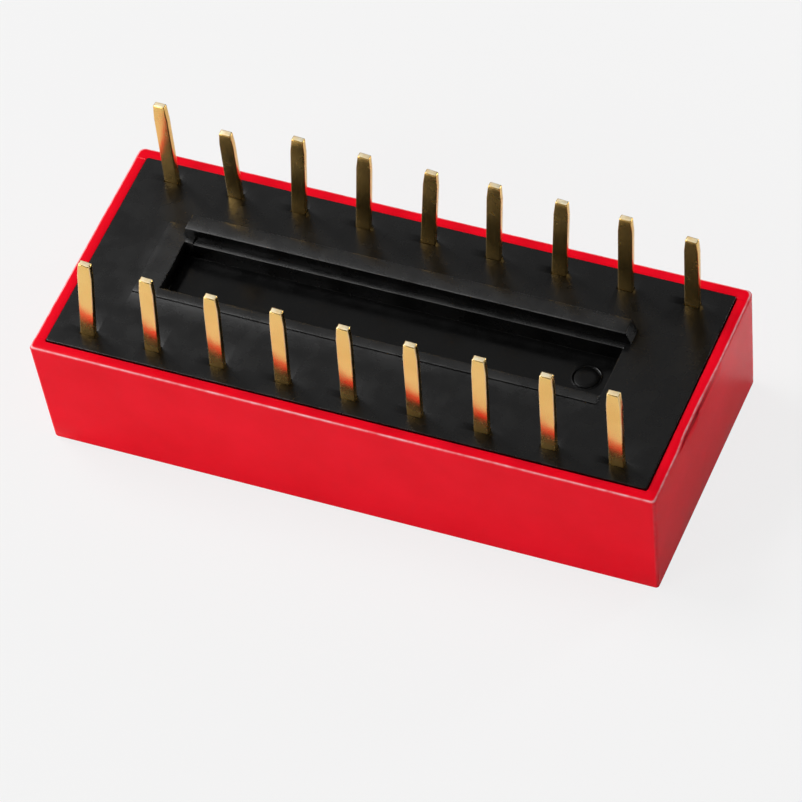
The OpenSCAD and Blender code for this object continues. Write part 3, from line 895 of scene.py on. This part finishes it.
def printed(text, x, y):
    """Flat letters as a mesh, centred on a place on the closed face, upright for someone who
    looks at that face with the front at the top."""
    letters = bpy.data.curves.new("letters", "FONT")
    letters.body = text
    letters.size = MARK_SIZE * MM
    letters.align_x, letters.align_y = "CENTER", "CENTER"
    letters.extrude = INK / 2 * MM
    holder = bpy.data.objects.new("letters", letters)
    bpy.context.scene.collection.objects.link(holder)
    drawn = holder.evaluated_get(bpy.context.evaluated_depsgraph_get())
    mesh = bpy.data.meshes.new_from_object(drawn)
    place = Matrix.Translation(Vector((x, y, -INK / 2)) * MM)
    mesh.transform(place @ Matrix.Rotation(math.pi, 4, "X"))
    bpy.data.objects.remove(holder)
    return mesh


letters = [printed("ON", *ON_PLACE)]
letters += [printed(str(i + 1), x, NUMBER_Y) for i, x in enumerate(POSITION_X)]
print_shell = bmesh.new()
for mesh in letters:
    print_shell.from_mesh(mesh)
bmesh.ops.remove_doubles(print_shell, verts=print_shell.verts, dist=INK_WELD)
bmesh.ops.recalc_face_normals(print_shell, faces=print_shell.faces)
print_mesh = bpy.data.meshes.new("printed_marks")
print_shell.to_mesh(print_mesh)
print_shell.free()
print_mesh.materials.append(white_ink)
marks = bpy.data.objects.new("printed_marks", print_mesh)
bpy.context.scene.collection.objects.link(marks)
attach(marks, "housing")

# ------------------------------------------------------------------ studio
# A pale floor, four soft lamps whose light comes mostly from the left, a dim sky, and the
# camera.

FLOOR_Z = -0.02
FLOOR_HALF = 900.0
FLOOR_GREY = (0.88, 0.88, 0.88)
PALE = (0.915, 0.915, 0.915)
FLOOR_GLOW = 0.88
MIRRORED_GLOW = 0.05

floor_mesh = bpy.data.meshes.new("floor")
corners = np.array([[-1, -1, 0], [1, -1, 0], [1, 1, 0], [-1, 1, 0]]) * FLOOR_HALF
corners = corners + [0, 0, FLOOR_Z]
floor_mesh.from_pydata((corners * MM).tolist(), [], [(0, 1, 2, 3)])
floor = bpy.data.objects.new("floor", floor_mesh)
bpy.context.scene.collection.objects.link(floor)
floor_paint, tree, shader = surface("floor_paint")
shader.inputs["Base Color"].default_value = (*FLOOR_GREY, 1)
shader.inputs["Roughness"].default_value = 0.9
glow = add(tree, "ShaderNodeEmission", {"Color": (*PALE, 1), "Strength": 1.0})
ray = add(tree, "ShaderNodeLightPath").outputs
mirrored = add(tree, "ShaderNodeMath", {0: ray["Is Glossy Ray"], 1: ray["Is Transmission Ray"]},
               operation="MAXIMUM")
mirrored = add(tree, "ShaderNodeMath", {0: mirrored.outputs[0], 1: MIRRORED_GLOW},
               operation="MULTIPLY")
share = add(tree, "ShaderNodeMath",
            {0: ray["Is Camera Ray"], 1: FLOOR_GLOW, 2: mirrored.outputs[0]},
            operation="MULTIPLY_ADD")
both = add(tree, "ShaderNodeMixShader",
           {0: share.outputs[0], 1: shader.outputs[0], 2: glow.outputs[0]})
tree.links.new(both.outputs[0], tree.nodes["Material Output"].inputs["Surface"])
floor_mesh.materials.append(floor_paint)

# Direction towards the back, from -1 to 1, and the sky's strength there
SKY = [(-0.4, 0.1), (-0.1, 0.25), (0.2, 0.25), (0.45, 0.03)]

world = bpy.data.worlds.new("studio")
bpy.context.scene.world = world
world.use_nodes = True
tree = world.node_tree
sky = tree.nodes["Background"]
sky.inputs["Color"].default_value = (1, 1, 1, 1)
direction = add(tree, "ShaderNodeTexCoord").outputs["Generated"]
heading = add(tree, "ShaderNodeSeparateXYZ", {0: direction}).outputs["Y"]
behind = add(tree, "ShaderNodeMapRange", {"Value": heading, "From Min": -1.0, "From Max": 1.0})
ramp = add(tree, "ShaderNodeValToRGB", {"Fac": behind.outputs[0]})
stops = ramp.color_ramp.elements
stops.remove(stops[1])
for stop, (towards_back, strength) in enumerate(SKY):
    if stop:
        stops.new((towards_back + 1) / 2)
    stops[stop].position = (towards_back + 1) / 2
    stops[stop].color = (strength, strength, strength, 1)
tree.links.new(ramp.outputs[0], sky.inputs["Strength"])


def soft_light(name, place, size, power):
    """A square area lamp at a place in millimetres that faces the switch."""
    lamp = bpy.data.lights.new(name, "AREA")
    lamp.size = size * MM
    lamp.energy = power
    holder = bpy.data.objects.new(name, lamp)
    bpy.context.scene.collection.objects.link(holder)
    holder.location = Vector(place) * MM
    holder.rotation_euler = (-Vector(place)).to_track_quat("-Z", "Y").to_euler()


soft_light("left", place=(-155, 30, 194), size=120, power=0.425)
soft_light("low_left", place=(-145, -175, 90), size=110, power=0.3)
soft_light("window", place=(-122, 150, 190), size=150, power=0.025)
soft_light("right", place=(38, 36, 24), size=12, power=0.0065)

AZIMUTH, ELEVATION, ROLL = (math.radians(angle) for angle in (28.965, 49.873, -9.067))
DISTANCE = 204.895
TARGET = Vector((1.413, -2.662, 4.0))
# Focal length as a share of the picture's width
FOCAL_SHARE = 5768.03 / 802
SENSOR = 36.0

away = Vector((math.sin(AZIMUTH) * math.cos(ELEVATION), -math.cos(AZIMUTH) * math.cos(ELEVATION),
               math.sin(ELEVATION)))
right = (-away).cross(Vector((0, 0, 1))).normalized()
up = right.cross(-away)
rolled_right = math.cos(ROLL) * right + math.sin(ROLL) * up
rolled_up = math.cos(ROLL) * up - math.sin(ROLL) * right
camera = bpy.data.objects.new("camera", bpy.data.cameras.new("camera"))
bpy.context.scene.collection.objects.link(camera)
turn = Matrix((rolled_right, rolled_up, away)).transposed().to_4x4()
camera.matrix_world = Matrix.Translation((TARGET + DISTANCE * away) * MM) @ turn
camera.data.sensor_width = SENSOR
camera.data.lens = FOCAL_SHARE * SENSOR
camera.data.clip_start = 0.005
camera.data.clip_end = 10.0
bpy.context.scene.camera = camera
bpy.context.scene.view_settings.view_transform = "Standard"
